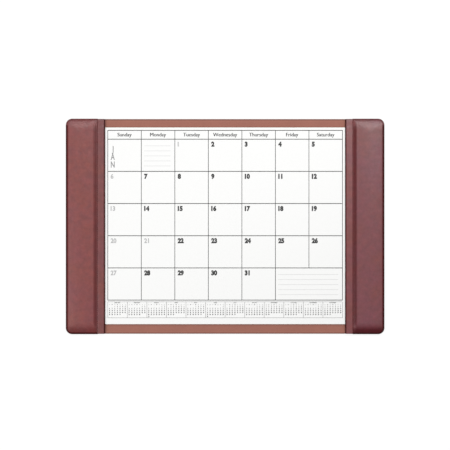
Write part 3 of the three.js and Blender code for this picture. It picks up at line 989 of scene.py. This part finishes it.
@cache
def liner_material():
    """Red-brown cover paper. Its strips carry a painted shadow by the sheets and painted shade at the very
    edge, with a painted highlight just inside the edge, where the paper turns over the board."""
    material, tree, shader = node_material("red_brown_liner", 0.72)
    weave = noise(tree, 1100, 5, 0.7)
    colour = ramp(tree, weave, [(0.35, linear(148, 94, 80)), (0.65, linear(166, 110, 96))])
    clouds = ramp(tree, noise(tree, 30, 3), [(0.3, grey(0.94)), (0.7, grey(1.01))])
    colour = mix(tree, 1.0, colour, clouds)
    from_middle = math_node(tree, "ABSOLUTE", object_axis(tree, "Y"))
    edge = liner_high[1] * MM
    strip = share_between(tree, from_middle, edge - LINER_STRIP, edge)
    # Painted shadow of the sheets, then a painted highlight and painted shade where the paper turns over
    # the edge.
    shade_ramp = ramp(tree, strip, [(0.0, grey(0.82)), (0.18, grey(0.84)), (0.3, grey(0.97)), (0.7, grey(0.97)),
                              (0.79, grey(1.06)), (0.87, grey(0.8)), (1.0, grey(0.6))])
    tree.links.new(mix(tree, 1.0, colour, shade_ramp), shader.inputs["Base Color"])
    shader.inputs["Specular IOR Level"].default_value = 0.35
    bump(tree, shader, weave, 0.00006, 0.5)
    return material


@cache
def felt_material():
    """Dark felt with loose fibres."""
    material, tree, shader = node_material("dark_felt", 1.0)
    fibres = noise(tree, 1300, 8, 0.8, 1.5)
    colour = ramp(tree, fibres, [(0.35, linear(34, 26, 26)), (0.68, linear(66, 52, 50))])
    tree.links.new(colour, shader.inputs["Base Color"])
    shader.inputs["Sheen Weight"].default_value = 0.3
    shader.inputs["Sheen Roughness"].default_value = 0.6
    bump(tree, shader, fibres, 0.0004, 0.9)
    return material


@cache
def paper_material():
    """White writing paper."""
    material, tree, shader = node_material("white_paper", 0.75)
    fibres = noise(tree, 700, 6, 0.7)
    colour = ramp(tree, fibres, [(0.3, linear(243, 243, 242)), (0.7, linear(247, 247, 246))])
    tree.links.new(colour, shader.inputs["Base Color"])
    shader.inputs["Specular IOR Level"].default_value = 0.3
    bump(tree, shader, fibres, 0.00003, 0.4)
    return material


@cache
def gum_material():
    """Dried padding gum, a little glossy."""
    material, tree, shader = node_material("padding_gum", 0.35)
    smears = noise(tree, 400, 4, 0.6)
    colour = ramp(tree, smears, [(0.3, linear(222, 214, 196)), (0.7, linear(236, 230, 216))])
    tree.links.new(colour, shader.inputs["Base Color"])
    bump(tree, shader, smears, 0.0001, 0.6)
    return material


def ink_material(name, level):
    """Printing ink of a grey level, with the paper's fibres showing faintly."""
    material, tree, shader = node_material(name, 0.6)
    colour = ramp(tree, noise(tree, 1500, 5, 0.7), [(0.3, grey(level * 0.94)), (0.7, grey(level * 1.06))])
    tree.links.new(colour, shader.inputs["Base Color"])
    shader.inputs["Specular IOR Level"].default_value = 0.3
    return material


def dress(node, material):
    """Gives a CAD node its finish."""
    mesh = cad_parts[node].data
    mesh.materials.clear()
    mesh.materials.append(material)


def dress_nodes():
    """The finishes of the CAD nodes that stay."""
    dress("base_board", board_material())
    dress("board_liner", liner_material())
    for node in ("calendar_card", "left_rail_spacer", "right_rail_spacer"):
        dress(node, greyboard_material())
    dress("calendar_gum_binding", gum_material())
    dress("calendar_month_grid", ink_material("ink_rules", 0.015))
    dress("calendar_month_strip", ink_material("ink_strip_rules", 0.08))


# Floor, light and camera
def seen_ray(tree):
    """One for the rays that show the surroundings: seen direct, in gloss or through glass."""
    path = add_node(tree, "ShaderNodeLightPath").outputs
    direct_or_gloss = math_node(tree, "MAXIMUM", path["Is Camera Ray"], path["Is Glossy Ray"])
    return math_node(tree, "MAXIMUM", direct_or_gloss, path["Is Transmission Ray"])


def build_floor():
    """A mid grey floor that is lifted to white where it is seen, so that it keeps its shadows."""
    bpy.ops.mesh.primitive_plane_add(size=FLOOR_SIZE, location=(0, 0, -FLOOR_DROP))
    floor = bpy.context.object
    floor.name = "desk_surface"
    material, tree, shader = node_material("white_floor", 0.9)
    shader.inputs["Base Color"].default_value = (*grey(FLOOR_GREY), 1)
    shader.inputs["Specular IOR Level"].default_value = 0.0
    shader.inputs["Emission Color"].default_value = (1, 1, 1, 1)
    lift = math_node(tree, "MULTIPLY", seen_ray(tree), FLOOR_WHITE_LIFT)
    tree.links.new(lift, shader.inputs["Emission Strength"])
    floor.data.materials.append(material)


def build_world():
    """A soft sky that lights the object, and that is seen as plain white, direct and in gloss."""
    world = bpy.data.worlds.new("studio")
    bpy.context.scene.world = world
    world.use_nodes = True
    tree = world.node_tree
    background = tree.nodes["Background"]
    direction = add_node(tree, "ShaderNodeTexCoord").outputs["Generated"]
    up = add_node(tree, "ShaderNodeSeparateXYZ", {"Vector": direction}).outputs["Z"]
    sky = ramp(tree, up, [(0.0, grey(0.05)), (0.45, grey(0.34)), (0.8, grey(0.66)), (1.0, grey(0.52))])
    seen = mix(tree, seen_ray(tree), sky, (*grey(1.0), 1.0), "MIX")
    tree.links.new(seen, background.inputs["Color"])
    background.inputs["Strength"].default_value = 1.0


def area_light(name, place_m, size_m, radiance):
    """A softbox of an even radiance, aimed at the middle of the pad."""
    light = bpy.data.lights.new(name, "AREA")
    light.shape = "RECTANGLE"
    light.size, light.size_y = size_m
    light.energy = radiance * math.pi * size_m[0] * size_m[1]
    lamp = bpy.data.objects.new(name, light)
    lamp.location = place_m
    lamp.rotation_euler = (-Vector(place_m)).to_track_quat("-Z", "Y").to_euler()
    bpy.context.scene.collection.objects.link(lamp)


def build_lights():
    """Softboxes beyond the far right corner, higher beyond the far edge, and large on the near left."""
    area_light("near_softbox", (0.58, 0.66, 1.35), (0.5, 0.5), 9.2)
    area_light("far_softbox", (-0.32, 1.0, 1.9), (0.9, 0.4), 6.8)
    area_light("side_softbox", (-1.7, -0.8, 1.5), (1.4, 1.6), 2.95)


def build_camera():
    """The photo's view from straight above, with the object where it lies in the photo."""
    camera = bpy.data.cameras.new("camera")
    camera.lens = LENS
    viewer = bpy.data.objects.new("camera", camera)
    shift = np.array(OBJECT_CENTRE_PX) - PHOTO_SIDE / 2
    viewer.location = (-shift[0] * PIXEL * MM, shift[1] * PIXEL * MM, CAMERA_HEIGHT)
    bpy.context.scene.collection.objects.link(viewer)
    bpy.context.scene.camera = viewer


bpy.context.scene.view_settings.view_transform = "Standard"
build_camera()
build_rail(1)
build_rail(-1)
build_felt()
build_pages()
print_days()
print_names()
print_note_rules()
print_rule_bleed()
print_small_months()
dress_nodes()
build_floor()
build_world()
build_lights()
